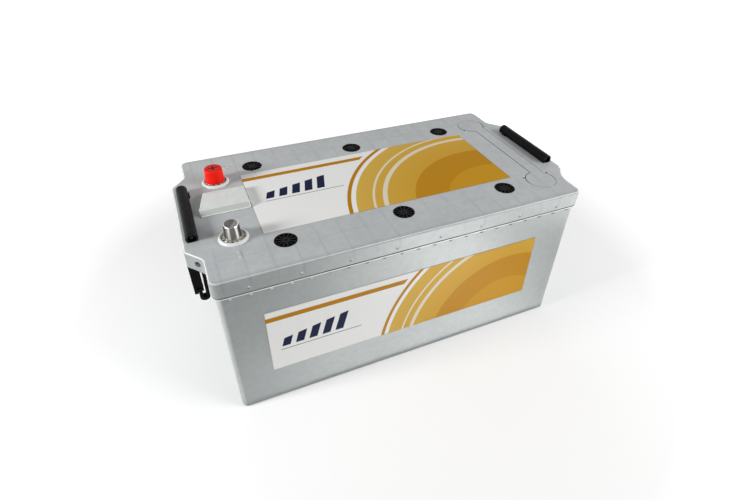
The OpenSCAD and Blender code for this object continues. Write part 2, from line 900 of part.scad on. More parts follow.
// Vent plug with a ribbed head, bayonet lugs and a nipple for its valve
module vent_plug(i) {
    shaft_r = plug_shaft_d / 2;
    head_low = plug_top - plug_head_t;
    shaft_low = socket_low + 1;
    ring_r = plug_d / 2 - 1.6;
    hub_r = 3.2;
    color(black_colour)
        translate(plug_at(i)) {
            difference() {
                union() {
                    translate([0, 0, head_low])
                        cylinder(d = plug_d, h = plug_head_t);
                    translate([0, 0, shaft_low])
                        cylinder(r = shaft_r, h = head_low - shaft_low + cut);
                    intersection() {
                        translate([-shaft_r - lug_reach, -key_w / 2 + plug_gap, lug_z - 3])
                            cube([2 * (shaft_r + lug_reach), key_w - 2 * plug_gap, 3]);
                        translate([0, 0, lug_z - 3])
                            cylinder(r = shaft_r + lug_reach - plug_gap, h = 3);
                    }
                }
                translate([0, 0, plug_top - rib_depth])
                    rib_pockets(hub_r, ring_r);
                translate([0, 0, head_low - cut])
                    difference() {
                        cylinder(r = o_ring_r + o_ring_d / 2 + 0.3, h = o_ring_d + cut);
                        translate([0, 0, -cut])
                            cylinder(r = o_ring_r - o_ring_d / 2 - 0.3, h = o_ring_d + 3 * cut);
                    }
                translate([0, 0, shaft_low - cut])
                    difference() {
                        cylinder(r = plug_bore_r, h = head_low - shaft_low);
                        translate([0, 0, 8])
                            cylinder(r = nipple_r, h = head_low);
                    }
                translate([0, 0, shaft_low])
                    cylinder(d = 2, h = head_low - shaft_low);
            }
        }
}

// Ring of pockets that leaves straight ribs from hub to rim
module rib_pockets(hub_r, ring_r) {
    difference() {
        cylinder(r = ring_r, h = rib_depth + cut);
        translate([0, 0, -cut])
            cylinder(r = hub_r, h = rib_depth + 3 * cut);
        for (a = [0:plug_ribs - 1])
            rotate(a * 360 / plug_ribs)
                translate([0, -0.6, -cut])
                    cube([plug_d, 1.2, rib_depth + 3 * cut]);
    }
}

// Rubber cap that rests on a plug's nipple and lets gas past at a set pressure
module valve(i) {
    head_low = plug_top - plug_head_t;
    low = socket_low + 7;
    color("#2b2b2b")
        translate(plug_at(i))
            difference() {
                translate([0, 0, low])
                    cylinder(r = valve_r, h = head_low - low - 1.4);
                translate([0, 0, low + 1])
                    cylinder(r = nipple_r + 0.05, h = head_low);
            }
}

// Seal under each plug's head
module plug_o_rings() {
    color("#3a3a3a")
        for (i = [0:5])
            translate(plug_at(i))
                translate([0, 0, lid_top - well_depth + o_ring_d / 2])
                    rotate_extrude()
                        translate([o_ring_r, 0])
                            circle(d = o_ring_d, $fn = 24);
}

// Puts a right-hand handle piece at the end named by side
module at_end(side) {
    mirror([side < 0 ? 1 : 0, 0, 0])
        translate([lid_l / 2, 0, 0])
            children();
}

// Half section of a grip without its bore, x outwards from the axis
module grip_profile() {
    r = grip_d / 2;
    end = grip_l / 2;
    polygon([
        [0, -end], [r - grip_chamfer, -end], [r, grip_chamfer - end],
        [r, end - grip_chamfer], [r - grip_chamfer, end], [0, end]]);
}

// Tube over the heads of the two legs, slotted below at both ends
module grip(side) {
    slot_l = leg_inset + leg_t + handle_gap;
    color(black_colour)
        at_end(side)
            difference() {
                union() {
                    translate([grip_out, 0, grip_z])
                        rotate([90, 0, 0])
                            rotate_extrude()
                                grip_profile();
                    translate([grip_out - grip_d / 2 - 1.6, grip_l / 2 - 18, lid_top + handle_gap])
                        cube([4, 8, grip_rise]);
                }
                translate([grip_out, 0, grip_z])
                    rotate([90, 0, 0])
                        cylinder(d = grip_bore, h = grip_l + 2 * cut, center = true);
                for (y = [-1, 1])
                    translate([
                        grip_out - neck_w / 2 - handle_gap,
                        y > 0 ? grip_l / 2 - slot_l : -grip_l / 2 - cut,
                        grip_z - grip_d])
                        cube([neck_w + 2 * handle_gap, slot_l + cut, grip_d]);
            }
}

// Outline of a leg, x outwards and y up: head neck, shoulder, shank and spring strip
module leg_outline() {
    foot = 4.5;
    translate([grip_out - neck_w / 2, shoulder_z - 6])
        square([neck_w, grip_z - shoulder_z + 6]);
    polygon([
        [leg_in, leg_low], [leg_out - foot, leg_low], [leg_out - foot, leg_low - 3],
        [leg_out, leg_low - 3], [leg_out, shoulder_z], [grip_out - neck_w / 2, shoulder_z],
        [grip_out - neck_w / 2, shoulder_z - 5], [leg_in, shoulder_z - 12]]);
    translate([bend_x + spring_gap / 2, bend_z])
        square([spring_t, leg_low - bend_z + cut]);
    difference() {
        translate([bend_x, bend_z])
            circle(bend_r);
        translate([bend_x, bend_z])
            circle(spring_gap / 2);
        translate([bend_x - 2 * bend_r, bend_z])
            square(4 * bend_r);
    }
    translate([bend_x - bend_r, bend_z])
        polygon([[0, 0], [spring_t, 0], [spring_t - spring_lean, spring_l], [-spring_lean, spring_l]]);
}

module leg(side, row) {
    window_l = leg_l - 16;
    color(black_colour)
        at_end(side)
            translate([0, row * leg_y, 0]) {
                difference() {
                    rotate([90, 0, 0])
                        linear_extrude(leg_t, center = true)
                            leg_outline();
                    for (y = [-1, 1])
                        translate([leg_in + leg_w / 2, y * leg_t / 2, leg_low + 4 + window_l / 2])
                            cube([leg_w - 5, 2.4, window_l], center = true);
                }
                translate([grip_out, 0, grip_z])
                    rotate([90, 0, 0])
                        cylinder(d = grip_bore - 0.6, h = leg_t, center = true);
            }
}

container();
lid();
positive_terminal();
negative_terminal();
positive_riser();
negative_riser();
positive_collar();
negative_collar();
positive_cap();
gas_cover();
flame_arrestor();
top_label();
front_label();
plug_o_rings();
intercell_welds();
grip(-1);  // left_grip
leg(-1, -1);  // left_front_leg
leg(-1, 1);  // left_rear_leg
grip(1);  // right_grip
leg(1, -1);  // right_front_leg
leg(1, 1);  // right_rear_leg
for (i = [0:5]) {
    vent_plug(i);
    valve(i);
    plate_group(i, true);
    plate_group(i, false);
    separators(i);
}
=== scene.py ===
from math import pi, radians

import bmesh
import bpy
from mathutils import Matrix, Vector


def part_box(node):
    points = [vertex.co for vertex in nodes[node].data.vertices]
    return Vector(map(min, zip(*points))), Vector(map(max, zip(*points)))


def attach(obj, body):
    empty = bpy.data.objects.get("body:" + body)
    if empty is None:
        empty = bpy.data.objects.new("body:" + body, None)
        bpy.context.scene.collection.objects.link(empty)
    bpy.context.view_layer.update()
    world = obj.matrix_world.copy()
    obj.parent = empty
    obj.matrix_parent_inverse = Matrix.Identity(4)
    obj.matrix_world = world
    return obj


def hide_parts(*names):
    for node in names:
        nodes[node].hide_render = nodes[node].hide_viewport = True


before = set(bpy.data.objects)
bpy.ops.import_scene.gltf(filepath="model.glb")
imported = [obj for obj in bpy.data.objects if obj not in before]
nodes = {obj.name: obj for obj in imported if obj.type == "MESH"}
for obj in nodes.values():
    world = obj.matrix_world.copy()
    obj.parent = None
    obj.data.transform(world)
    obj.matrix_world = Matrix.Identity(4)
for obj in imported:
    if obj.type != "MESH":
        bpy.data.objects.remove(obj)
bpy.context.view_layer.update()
print("frame loaded:", len(nodes), "nodes")


def addObject(name, data):
    thing = bpy.data.objects.new(name, data)
    bpy.context.scene.collection.objects.link(thing)
    return thing


# Camera, at the photograph's angle
view = {
    "place": (-0.23438, -0.54753, 0.57195),
    "turn": (53.096, -0.995, -23.622),  # degrees
    "lens": 24.0,
    "sensor": 36,
    "shift": (-0.0105, -0.0239),
    "clip": 0.01,
}


def makeCamera():
    data = bpy.data.cameras.new("camera")
    data.sensor_width = view["sensor"]
    data.lens = view["lens"]
    data.shift_x, data.shift_y = view["shift"]
    data.clip_start = view["clip"]
    camera = addObject("camera", data)
    camera.location = view["place"]
    camera.rotation_euler = [radians(a) for a in view["turn"]]
    bpy.context.scene.camera = camera


makeCamera()


# One value on a board of nodes, so that shader maths reads as plain expressions
class Wire:
    def __init__(self, board, socket):
        self.board = board
        self.socket = socket

    def op(self, operation, *others, clamp=False):
        inputs = dict(enumerate((self,) + others))
        return self.board.add("ShaderNodeMath", {"operation": operation, "use_clamp": clamp}, inputs)

    def __add__(self, other):
        return self.op("ADD", other)

    def __radd__(self, other):
        return self.op("ADD", other)

    def __sub__(self, other):
        return self.op("SUBTRACT", other)

    def __rsub__(self, other):
        return self.board.add("ShaderNodeMath", {"operation": "SUBTRACT"}, {0: other, 1: self})

    def __mul__(self, other):
        return self.op("MULTIPLY", other)

    def __rmul__(self, other):
        return self.op("MULTIPLY", other)

    def __truediv__(self, other):
        return self.op("DIVIDE", other)

    def __pow__(self, other):
        return self.op("POWER", other)

    def __abs__(self):
        return self.op("ABSOLUTE")

    # the stronger of two masks
    def __or__(self, other):
        return self.op("MAXIMUM", other)

    # 0 below the edge, 1 above it, soft over a short way
    def above(self, edge, soft=0.0003):
        return ((self - edge) / soft + 0.5).op("ADD", 0.0, clamp=True)

    def below(self, edge, soft=0.0003):
        return 1 - self.above(edge, soft)

    def between(self, low, high, soft=0.0003):
        return self.above(low, soft) * self.below(high, soft)

    # distance to the nearest of evenly spaced lines
    def nearest(self, pitch, start=0.0):
        return (self - start).op("PINGPONG", pitch / 2)


def distance(dx, dy):
    return (dx * dx + dy * dy) ** 0.5


# The nodes of a material, a lamp or the world
class Board:
    def __init__(self, tree):
        self.tree = tree

    def add(self, kind, settings, inputs, out=0):
        node = self.tree.nodes.new(kind)
        for key, value in settings.items():
            if key == "stops":
                self.ramp(node.color_ramp, value)
            else:
                setattr(node, key, value)
        for key, value in inputs.items():
            self.feed(node.inputs[key], value)
        return Wire(self, node.outputs[out])

    def ramp(self, ramp, stops):
        while len(ramp.elements) < len(stops):
            ramp.elements.new(0.5)
        for element, (spot, tint) in zip(ramp.elements, stops):
            element.position = spot
            element.color = tint

    def feed(self, socket, value):
        if isinstance(value, Wire):
            self.tree.links.new(value.socket, socket)
        else:
            socket.default_value = value

    def axes(self, vector):
        split = self.add("ShaderNodeSeparateXYZ", {}, {0: vector})
        return [Wire(self, socket) for socket in split.socket.node.outputs]

    def mix(self, first, second, factor):
        settings = {"data_type": "RGBA", "clamp_factor": True}
        return self.add("ShaderNodeMix", settings, {0: factor, 6: first, 7: second}, 2)

    def multiply(self, first, second):
        settings = {"data_type": "RGBA", "blend_type": "MULTIPLY"}
        return self.add("ShaderNodeMix", settings, {0: 1.0, 6: first, 7: second}, 2)

    # 1 for the rays that look: from the camera, in gloss and through glass
    def seen(self):
        rays = ("Is Camera Ray", "Is Glossy Ray", "Is Transmission Ray")
        camera, gloss, glass = [self.add("ShaderNodeLightPath", {}, {}, ray) for ray in rays]
        return camera | gloss | glass


# A material: the Principled shader and the nodes that feed it
class Finish(Board):
    def __init__(self, name, **sockets):
        self.material = bpy.data.materials.new(name)
        self.material.use_nodes = True
        super().__init__(self.material.node_tree)
        self.shader = self.tree.nodes["Principled BSDF"]
        self.set(**sockets)
        self.place = self.add("ShaderNodeTexCoord", {}, {}, "Object")
        self.x, self.y, self.z = self.axes(self.place)
        self.facing = self.axes(self.add("ShaderNodeTexCoord", {}, {}, "Normal"))

    def set(self, **sockets):
        for key, value in sockets.items():
            self.feed(self.shader.inputs[key.replace("_", " ")], value)

    # soft mottling between 0 and 1, size in metres
    def noise(self, size, detail=2.0, rough=0.5, stretch=(1, 1, 1)):
        place = self.place
        if stretch != (1, 1, 1):
            place = self.add("ShaderNodeMapping", {}, {"Vector": place, "Scale": stretch})
        inputs = {"Vector": place, "Scale": 1 / size, "Detail": detail, "Roughness": rough}
        return self.add("ShaderNodeTexNoise", {"normalize": True}, inputs)

    # rounded edges and a fine surface height in metres, fed to Normal
    def relief(self, height, strength=1.0, edge=0.0):
        inputs = {"Height": height, "Strength": strength, "Distance": 1.0}
        if edge:
            inputs["Normal"] = self.add("ShaderNodeBevel", {"samples": 6}, {"Radius": edge})
        self.set(Normal=self.add("ShaderNodeBump", {}, inputs))


def colour(red, green, blue):
    return (red, green, blue, 1.0)


def dress(finish, *names):
    for name in names:
        nodes[name].data.materials.clear()
        nodes[name].data.materials.append(finish.material)


# Turns a bmesh into a piece at the origin
def finishMesh(mesh, name, smooth=True):
    for face in mesh.faces:
        face.smooth = smooth
    data = bpy.data.meshes.new(name)
    mesh.to_mesh(data)
    mesh.free()
    return addObject(name, data)


# Spins a profile of radii and heights once round Z
def spunShape(mesh, corners, steps, closed):
    chain = [mesh.verts.new((r, 0, z)) for r, z in corners]
    edges = [mesh.edges.new(pair) for pair in zip(chain, chain[1:])]
    if closed:
        edges.append(mesh.edges.new((chain[-1], chain[0])))
    bmesh.ops.spin(mesh, geom=chain + edges, axis=(0, 0, 1), cent=(0, 0, 0), angle=radians(360),
                   steps=steps, use_merge=True)


def closeSeams(mesh):
    bmesh.ops.remove_doubles(mesh, verts=mesh.verts, dist=0.00001)
    bmesh.ops.recalc_face_normals(mesh, faces=mesh.faces)


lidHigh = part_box("lid")[1]
lidTop = lidHigh.z
seamZ = lidTop - 0.021  # lower edge of the lid's skirt
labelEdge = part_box("top_label")[1].y

# Moulded polypropylene of the lid, the box and the gas cover
mould = {
    "top": colour(0.422, 0.436, 0.444),
    "side": colour(0.258, 0.280, 0.278),  # the lid's skirt and the box, a little greener: a darker copy of the top's tone, painted shade for the upright faces
    "shadeAndGrime": colour(0.060, 0.063, 0.058),  # painted shade in seams, grooves, under bumps and along the lid's long edges, and the grime of the skirt's sink smudges
    "highlightAndWear": colour(0.84, 0.85, 0.84),  # painted highlights on edges, lips, bumps and signs, and rubbed wear on the box's corners and foot
    "sink": colour(0.300, 0.325, 0.355),  # sink lines over the ribs inside
    "pale": (1.17, 1.16, 1.14, 1),  # lightest part of the mottling, times the tint
    "deep": (0.81, 0.83, 0.845, 1),  # darkest part
    "cloud": 0.07,  # sizes of the mottling, from coarse to fine
    "mottle": 0.009,
    "fleck": 0.0018,
    "grain": 0.0007,  # size of the moulded texture
    "grainHeight": 0.00004,
}


def mouldedFinish(name, tint, edge):
    finish = Finish(name, IOR=1.45)
    cloud = finish.noise(mould["cloud"], 3.0).above(0.5, 0.45)
    mottle = finish.noise(mould["mottle"], 3.0, 0.6).above(0.5, 0.5)
    fleck = finish.noise(mould["fleck"], 2.0, 0.7).above(0.5, 0.6)
    pale, deep = [[c * d for c, d in zip(tint, mould[key])] for key in ("pale", "deep")]
    body = finish.mix(deep, pale, cloud * 0.30 + mottle * 0.40 + fleck * 0.30)
    finish.relief(finish.noise(mould["grain"], 1.0) * mould["grainHeight"], 0.7, edge)
    return finish, body


# Satin gloss, rougher where the painted shade is
def plasticShine(finish, shadeMask=0.0):
    finish.set(Roughness=0.40 + 0.10 * finish.noise(0.012, 2.0) + 0.5 * shadeMask)


# Outline of the sealed plate at the plain end, with a pit at each side of its round ends
insert = {
    "middle": (0.209, 0.092),
    "radius": 0.0207,
    "lines": (0.207, 0.225),
    "lineHalf": (0.0006, 0.0003),  # line of painted shade and faint line
    "pits": (0.0192, 0.0795),  # out from the round end's middle, and from the lid's middle
    "pitRadius": 0.0016,
    "glint": (0.0016, 0.0026),  # from a pit to the painted highlight beside it
    "glintRadius": 0.0013,
}


# Painted shade and painted highlight along the outline, with painted shade in the pits: both are masks
def insertMarks(finish, side):
    x, y = insert["middle"]
    left, right = insert["lines"]
    thick, thin = insert["lineHalf"]
    radius = insert["radius"]
    dx = finish.x - x
    dy = side - y
    ring = abs(distance(dx, dy) - radius).below(thick, 0.0005)
    ring = ring * (1 - finish.x.between(left, right) * dy.below(0))
    near = abs(finish.x - left).below(thick, 0.0005) * side.below(y - radius)
    far = abs(finish.x - right).below(thin, 0.0004) * side.below(y - radius * 0.63)
    outer = dy.above(0.006, 0.008)
    px = abs(dx) - insert["pits"][0]
    py = side - insert["pits"][1]
    pit = distance(px, py).below(insert["pitRadius"], 0.0008)
    spot = distance(px + insert["glint"][0], py + insert["glint"][1])
    glint = spot.below(insert["glintRadius"], 0.0010) * (1 - pit)
    shadeMask = (ring * (1 - outer) | near | far * 0.3) * 0.92
    return shadeMask | pit * 0.95, ring * outer * 0.55 | glint * 0.7


# Marks on the lid. A pair is an edge and how soft it is, unless its note says otherwise
lidSkin = {
    "ribPitch": 0.029,
    "ribStart": -0.200,
    "ribLine": (0.0009, 0.0026),
    "longRib": 0.102,  # rib along the lid, out from its middle
    "labelGap": 0.004,  # from the label to the first sink lines
    "smudge": (0.0012, 0.0034),  # on the skirt under each rib
    "smudgeFoot": 0.006,  # above the seam
    "edgeShade": (0.1325, 0.005),  # the long edges are darker from here out
    "longEdge": (0.128, 0.004),
    "dimHighlightEnd": (-0.140, 0.200),  # the painted edge highlight is weaker from here to the posts' end
    "bumpOut": 0.0009,  # how far the skirt's bumps stand out
    "groove": (0.0032, 0.00012),  # deepest and highest painted shade in the plate's groove
    "plateLong": (0.165, 0.236),  # from and to, along the lid
    "plateOut": 0.125,
    "seamShade": (0.0005, 0.0003),  # painted shade up to this far above the seam
}


# Sink lines are broken by a patchy mask, as on a real moulding
def sinkLines(finish, side, ribs):
    patchy = finish.noise(0.045, 1.0).above(0.44, 0.35)
    across = ribs.below(*lidSkin["ribLine"]) * side.above(labelEdge + lidSkin["labelGap"], 0.006)
    along = abs(side - lidSkin["longRib"]).below(*lidSkin["ribLine"])
    return (across | along * 0.7) * (0.15 + 0.50 * patchy)


def lidFinish():
    finish, body = mouldedFinish("lidPlastic", mould["top"], 0.0006)
    side = abs(finish.y)
    ribs = finish.x.nearest(lidSkin["ribPitch"], lidSkin["ribStart"])
    nx, _, nz = finish.facing
    flat = nz.above(0.5, 0.8)
    # the upright faces are painted darker and greener than the top: painted shade by facing
    shade = [c / d for c, d in zip(mould["side"], mould["top"])]
    toned = finish.multiply(body, finish.mix(shade, colour(1, 1, 1), flat))
    ribbed = finish.mix(toned, mould["sink"], sinkLines(finish, side, ribs) * flat)
    # sink smudges on the skirt under each rib, and painted shade on the top along the long edges
    smudge = ribs.below(*lidSkin["smudge"]) * finish.z.above(seamZ + lidSkin["smudgeFoot"], 0.008)
    smudge = smudge * (1 - flat) * finish.noise(0.03, 1.0).above(0.42, 0.3)
    edgeShade = side.above(*lidSkin["edgeShade"]) * flat
    shaded = finish.mix(ribbed, mould["shadeAndGrime"], smudge * 0.20 + edgeShade * 0.18)
    # painted highlight along the rounded edges, weaker on the long edges near the posts
    worn = nz.between(0.63, 0.85, 0.05) * (0.55 + 0.65 * finish.noise(0.03, 2.0))
    dimHighlight = finish.x.below(*lidSkin["dimHighlightEnd"]) * side.above(*lidSkin["longEdge"])
    worn = worn * (1 - 0.55 * dimHighlight)
    # the skirt's bumps: painted highlight on their upper faces, painted shade under them
    bump = side.above(lidHigh.y - lidSkin["bumpOut"], 0.0002)
    shadeMask, shine = insertMarks(finish, side)
    worn = worn | bump * nz.above(0.25, 0.3) * 0.15 | shine * flat
    edged = finish.mix(shaded, mould["highlightAndWear"], worn)
    # painted shade in the plate's groove, in the seam under the skirt, under the bumps and along the
    # plate's outline
    deepest, highest = lidSkin["groove"]
    groove = finish.z.between(lidTop - deepest, lidTop - highest, 0.0001) * shadeMask.above(0.2, 0.3)
    groove = groove * finish.x.between(*lidSkin["plateLong"]) * side.below(lidSkin["plateOut"])
    seamHigh, seamSoft = lidSkin["seamShade"]
    seam = finish.z.below(seamZ + seamHigh, seamSoft) * (1 - flat)
    under = bump * nz.below(0.10, 0.3) * nx.below(0.2, 0.6)
    paintedShade = groove * 0.75 | seam * 0.85 | under * 0.55 | shadeMask * flat
    finish.set(Base_Color=finish.mix(edged, mould["shadeAndGrime"], paintedShade))
    plasticShine(finish, paintedShade)
    dress(finish, "lid")


boxSkin = {
    "scuffed": colour(0.24, 0.25, 0.245),
    "scuffHigh": (0.030, 0.030),  # scuffs end here, and how softly
    "partition": 0.0788,  # walls between the cells, out from the middle
    "lip": (0.0026, 0.00145),  # painted highlight on the lip, below the seam
    "ribs": (0.0058, 0.0030),  # ends of the short ribs, below the seam
    "ribOut": 0.1358,  # they stand out past this
    "ribEnd": 0.228,
    "litEnd": (-0.120, 0.060),  # from here to the posts' end the seam's painted shade is weaker and the rib ends get a painted highlight
}


def boxFinish():
    finish, body = mouldedFinish("casePlastic", mould["side"], 0.0005)
    wall = abs(abs(finish.x) - boxSkin["partition"]).below(0.0012, 0.0020)
    sunk = finish.mix(body, mould["sink"], wall * 0.22)
    nx, ny, nz = finish.facing
    # painted highlight, partly also rubbed wear, on the upright corners and the rounded foot
    corner = abs(nx * ny).above(0.30, 0.25) * 0.18
    foot = nz.between(-0.96, -0.25, 0.10) * (0.15 + 0.25 * finish.noise(0.015, 3.0))
    highlightAndWear = finish.mix(sunk, mould["highlightAndWear"], corner + foot * 0.6)
    scuff = finish.noise(0.030, 4.0, 0.7, (0.35, 1, 1)).above(0.66, 0.05)
    scuff = scuff * finish.z.below(*boxSkin["scuffHigh"])
    worn = finish.mix(highlightAndWear, boxSkin["scuffed"], scuff * 0.35)
    # painted highlight on the lip under the seam and painted shade in the seam above it, then the ends
    # of the short ribs
    broken = finish.noise(0.05, 3.0, 0.6, (1, 0.2, 0.2))
    lipLow, lipHigh = [seamZ - drop for drop in boxSkin["lip"]]
    lip = finish.z.between(lipLow, lipHigh, 0.0002) * (0.40 + 0.90 * broken)
    lipped = finish.mix(worn, mould["highlightAndWear"], lip)
    seam = finish.z.above(lipHigh, 0.0002) * (0.65 + 0.35 * broken.above(0.42, 0.2))
    rib = finish.z.between(*[seamZ - drop for drop in boxSkin["ribs"]])
    rib = rib * abs(finish.y).above(boxSkin["ribOut"]) * abs(finish.x).below(boxSkin["ribEnd"])
    # clean marks the posts' end: there the rib ends get a painted highlight, elsewhere painted shade,
    # and the seam's painted shade is weaker
    clean = finish.x.below(*boxSkin["litEnd"])
    nubbed = finish.mix(lipped, mould["highlightAndWear"], rib * clean * 0.45)
    nub = rib * (1 - clean) * (0.55 + 0.35 * abs(nx).above(0.6, 0.3))
    paintedShade = seam * (1 - clean * 0.45) | nub
    finish.set(Base_Color=finish.mix(nubbed, mould["shadeAndGrime"], paintedShade))
    plasticShine(finish, paintedShade)
    dress(finish, "container")


coverSkin = {
    "tint": colour(0.63, 0.65, 0.63),
    "slope": colour(0.385, 0.402, 0.385),  # painted shade: the front slope is darker
    "lip": (0.0019, 0.0004),  # height of the painted highlight along the foot's lip, and how soft it ends
}


def coverFinish():
    finish, body = mouldedFinish("coverPlastic", coverSkin["tint"], 0.0004)
    nx, ny, nz = finish.facing
    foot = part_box("gas_cover")[0].z
    # painted shade on the front slope
    slope = ny.below(-0.25, 0.2)
    shaded = finish.mix(body, coverSkin["slope"], slope * 0.85)
    # painted highlight along the foot's lip and on the sloping end faces
    lipHigh, lipSoft = coverSkin["lip"]
    lip = finish.z.below(foot + lipHigh, lipSoft)
    ends = nz.between(0.25, 0.95, 0.08) * abs(nx).above(0.3, 0.2)
    finish.set(Base_Color=finish.mix(shaded, mould["highlightAndWear"], lip * 0.85 | ends * 0.6))
    plasticShine(finish)
    dress(finish, "gas_cover")


lidFinish()
boxFinish()
coverFinish()
print("moulded plastics done")

# Black plastic of the plugs and handles
black = {
    "tint": colour(0.0035, 0.0035, 0.004),
    "worn": colour(0.012, 0.012, 0.013),
    "ribHighlight": colour(0.033, 0.033, 0.034),
    "plugPitch": 0.1495,  # from plug to plug along the lid
    "plugOut": 0.092,
    "plugRibs": (0.0025, 0.0117),  # radii between which the ribs lie
    "plugs": ["vent_plug_%d" % i for i in range(1, 7)],
    "handles": [s + p for s in ("left_", "right_") for p in ("grip", "front_leg", "rear_leg")],
}


def blackFinish(name, edge, shine, gloss=0.03):
    finish = Finish(name, Specular_IOR_Level=gloss)
    scuff = finish.noise(0.006, 4.0, 0.65).above(0.60, 0.2)
    finish.set(Base_Color=finish.mix(black["tint"], black["worn"], scuff * 0.7))
    finish.set(Roughness=shine + 0.12 * finish.noise(0.003, 2.0))
    finish.relief(finish.noise(0.0006, 1.0) * 0.00003, 0.6, edge)
    return finish


# The up-facing tops of the ribs in a plug's head get a patchy painted highlight
def plugFinish():
    finish = blackFinish("plugPlastic", 0.0003, 0.40)
    dx = finish.x.nearest(black["plugPitch"])
    dy = abs(finish.y) - black["plugOut"]
    ribs = distance(dx, dy).between(*black["plugRibs"], 0.0008)
    top = finish.facing[2].above(0.6, 0.4) * finish.z.above(lidTop - 0.0007, 0.0003)
    ribHighlight = 0.25 + 0.75 * finish.noise(0.004, 2.0).above(0.45, 0.3)
    finish.set(Base_Color=finish.mix(black["tint"], black["ribHighlight"], ribs * top * ribHighlight))
    dress(finish, *black["plugs"])


plugFinish()
dress(blackFinish("handlePlastic", 0.0005, 0.34, 0.05), *black["handles"])
print("black plastics done")

# Red cap, darker on top, a painted shade, and darker at the foot
cap = {
    "tints": (colour(0.76, 0.008, 0.002), colour(0.85, 0.014, 0.003)),
    "capDarker": colour(0.42, 0.005, 0.003),
    "foot": 0.004,  # height of the gripped part
}
capLow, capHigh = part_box("positive_cap")


def capFinish():
    finish = Finish("redPlastic", Specular_IOR_Level=0.15)
    shade = finish.mix(*cap["tints"], finish.noise(0.010, 3.0))
    # darker foot, and a darker top that is painted shade
    foot = finish.z.below(capLow.z + cap["foot"], 0.006)
    top = finish.facing[2].above(0.8, 0.3)
    finish.set(Base_Color=finish.mix(shade, cap["capDarker"], foot * 0.35 | top * 0.6))
    finish.set(Roughness=0.42 + 0.10 * finish.noise(0.004, 2.0))
    finish.relief(finish.noise(0.0006, 1.0) * 0.00003, 0.5, 0.0006)
    dress(finish, "positive_cap")


# Collar rings round the posts' feet, domed up to the lead
collar = {
    "inner": 0.0136,
    "outer": 0.0175,
    "wall": 0.0011,  # upright part of the outside
    "crest": 0.0034,
    "crestIn": 0.0019,  # from the outside to the crest
    "lip": 0.0031,  # height at the inner edge
    "steps": 72,
    "round": 0.0007,
    "tints": (colour(0.58, 0.58, 0.57), colour(0.67, 0.67, 0.66)),
    "stain": colour(0.45, 0.44, 0.42),
}


# An edge that runs round the collar above its foot
def isRing(edge):
    first, second = [v.co for v in edge.verts]
    level = abs(first.z - second.z) < 0.00001
    sameRadius = abs(first.xy.length - second.xy.length) < 0.00001
    return level and sameRadius and min(first.z, second.z) > 0.0005


def makeCollar(node):
    low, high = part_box(node)
    middle = (low + high) / 2
    mesh = bmesh.new()
    spunShape(mesh, [
        (collar["inner"], 0),
        (collar["outer"], 0),
        (collar["outer"], collar["wall"]),
        (collar["outer"] - collar["crestIn"], collar["crest"]),
        (collar["inner"], collar["lip"]),
    ], collar["steps"], True)
    closeSeams(mesh)
    rings = [e for e in mesh.edges if isRing(e)]
    bmesh.ops.bevel(mesh, geom=rings, offset=collar["round"], segments=4, profile=0.5,
                    affect="EDGES", material=-1)
    bmesh.ops.translate(mesh, verts=mesh.verts, vec=(middle.x, middle.y, low.z))
    return finishMesh(mesh, node.replace("_collar", "Collar"))


def collarFinish():
    finish = Finish("collarPlastic", IOR=1.45, Roughness=0.42)
    clean = finish.mix(*collar["tints"], finish.noise(0.008, 3.0))
    stain = finish.noise(0.005, 4.0, 0.65).above(0.60, 0.15)
    finish.set(Base_Color=finish.mix(clean, collar["stain"], stain * 0.25))
    finish.relief(finish.noise(0.0008, 1.0) * 0.00003, 0.5)
    return finish


def makeCollars():
    finish = collarFinish()
    for node in ("positive_collar", "negative_collar"):
        piece = makeCollar(node)
        piece.data.materials.append(finish.material)
        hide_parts(node)
        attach(piece, "case")


# Cast lead: upright bands of painted highlight on the posts, painted shade on their flanks, dull on
# top, rough at the foot
lead = {
    "bands": (-0.50, 0.44),  # sideways part of the facing direction, where the painted highlight bands lie
    "leadHighlight": colour(0.88, 0.87, 0.83),
    "grey": colour(0.23, 0.22, 0.205),
    # painted shade on the posts' flanks
    "flank": colour(0.11, 0.105, 0.10),
    "top": (colour(0.085, 0.082, 0.08), colour(0.16, 0.155, 0.15)),
    "cut": colour(0.26, 0.25, 0.24),  # brighter part of the top, past a slanting line
    "cutSlant": (0.86, -0.51),
    "cutFrom": 0.0020,
    "foot": (colour(0.16, 0.15, 0.13), colour(0.46, 0.44, 0.40)),
    "footHigh": 0.0045,
}
postLow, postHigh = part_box("negative_terminal")


